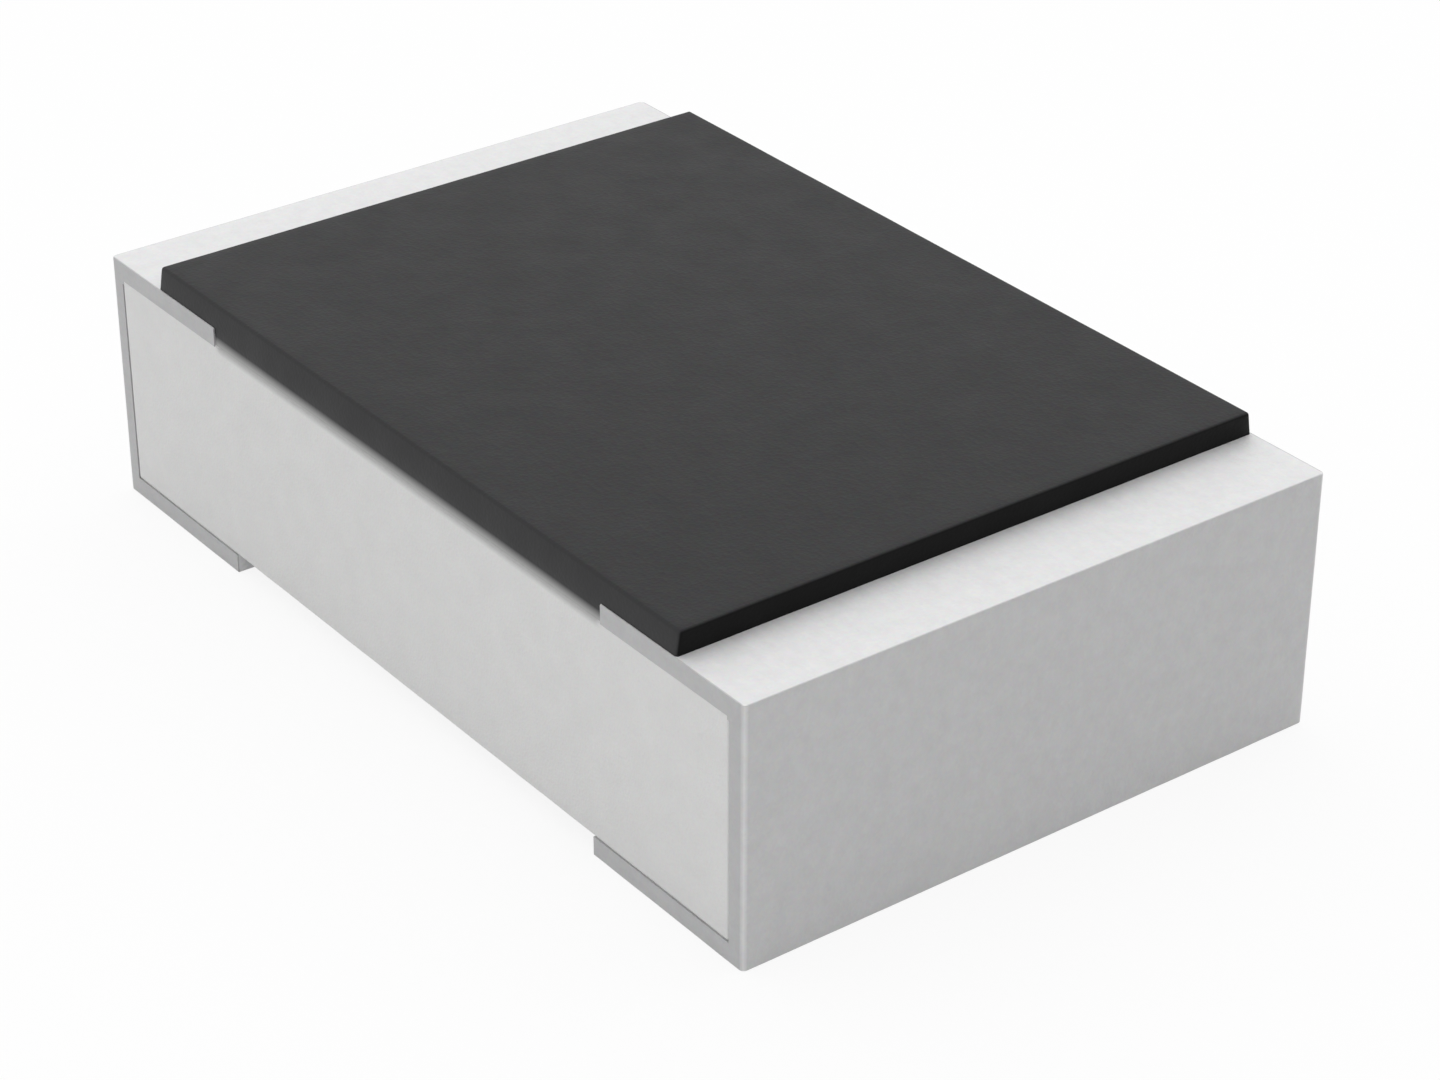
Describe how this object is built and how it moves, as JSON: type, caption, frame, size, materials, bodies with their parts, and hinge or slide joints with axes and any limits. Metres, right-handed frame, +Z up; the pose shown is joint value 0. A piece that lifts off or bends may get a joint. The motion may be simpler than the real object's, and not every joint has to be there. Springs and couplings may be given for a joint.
{
  "type": "smd chip resistor",
  "caption": "Surface-mount chip resistor: a flat ceramic chip with wrap-around tinned terminals at its ends and a black protective coat over the trimmed resistive film on its top face.",
  "frame": {"origin": "centre of the underside, in the plane of the solder faces", "axes": "+X along the chip towards its right-hand terminal, +Y across its width, +Z up through the coat"},
  "size_m": [0.002, 0.0012, 0.0005],
  "materials": {
    "alumina_ceramic": "matte, fine fired grain",
    "silver_electrode": "matte fired silver paste",
    "nickel_barrier": "satin plated nickel",
    "matte_tin": "satin plated tin",
    "resistive_film": "matte fired film",
    "glass_passivation": "fired glass",
    "black_overcoat": "matte cured resin"
  },
  "bodies": {
    "root": {"ceramic_substrate": "alumina_ceramic", "top_electrode_left": "silver_electrode", "top_electrode_right": "silver_electrode", "bottom_electrode_left": "silver_electrode", "bottom_electrode_right": "silver_electrode", "end_electrode_left": "silver_electrode", "end_electrode_right": "silver_electrode", "nickel_barrier_left": "nickel_barrier", "nickel_barrier_right": "nickel_barrier", "tin_plating_left": "matte_tin", "tin_plating_right": "matte_tin", "resistive_film": "resistive_film", "glass_passivation": "glass_passivation", "overcoat": "black_overcoat"}
  },
  "joints": []
}
